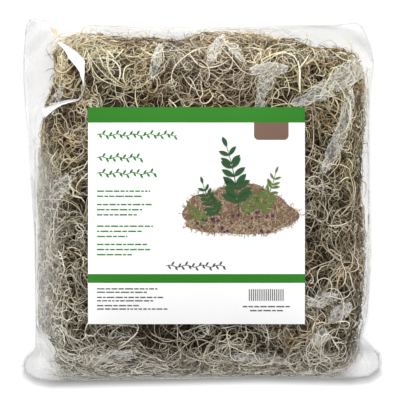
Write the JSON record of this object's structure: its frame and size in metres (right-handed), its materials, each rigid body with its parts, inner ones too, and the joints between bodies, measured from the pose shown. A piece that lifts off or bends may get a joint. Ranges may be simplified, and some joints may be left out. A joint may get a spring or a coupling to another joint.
{
  "type": "bagged bunch of spanish moss",
  "caption": "Dried Spanish moss pressed into a soft block in a clear film bag with loose corners and a square paper label, lying on its back.",
  "frame": {"origin": "middle of the bag's footprint, on the surface that it lies on", "axes": "+Z out of the front, where the label is; +Y towards the bag's top edge; +X to the right, seen from the front"},
  "size_m": [0.2538, 0.2575, 0.0809],
  "materials": {
    "moss": "dry, matt, wiry",
    "film": "clear thin film, glossy, slightly hazy at creases",
    "label_paper": "coated white paper, satin"
  },
  "bodies": {
    "root": {"spanish_moss": "moss", "clear_bag": "film", "label": "label_paper"}
  },
  "joints": []
}
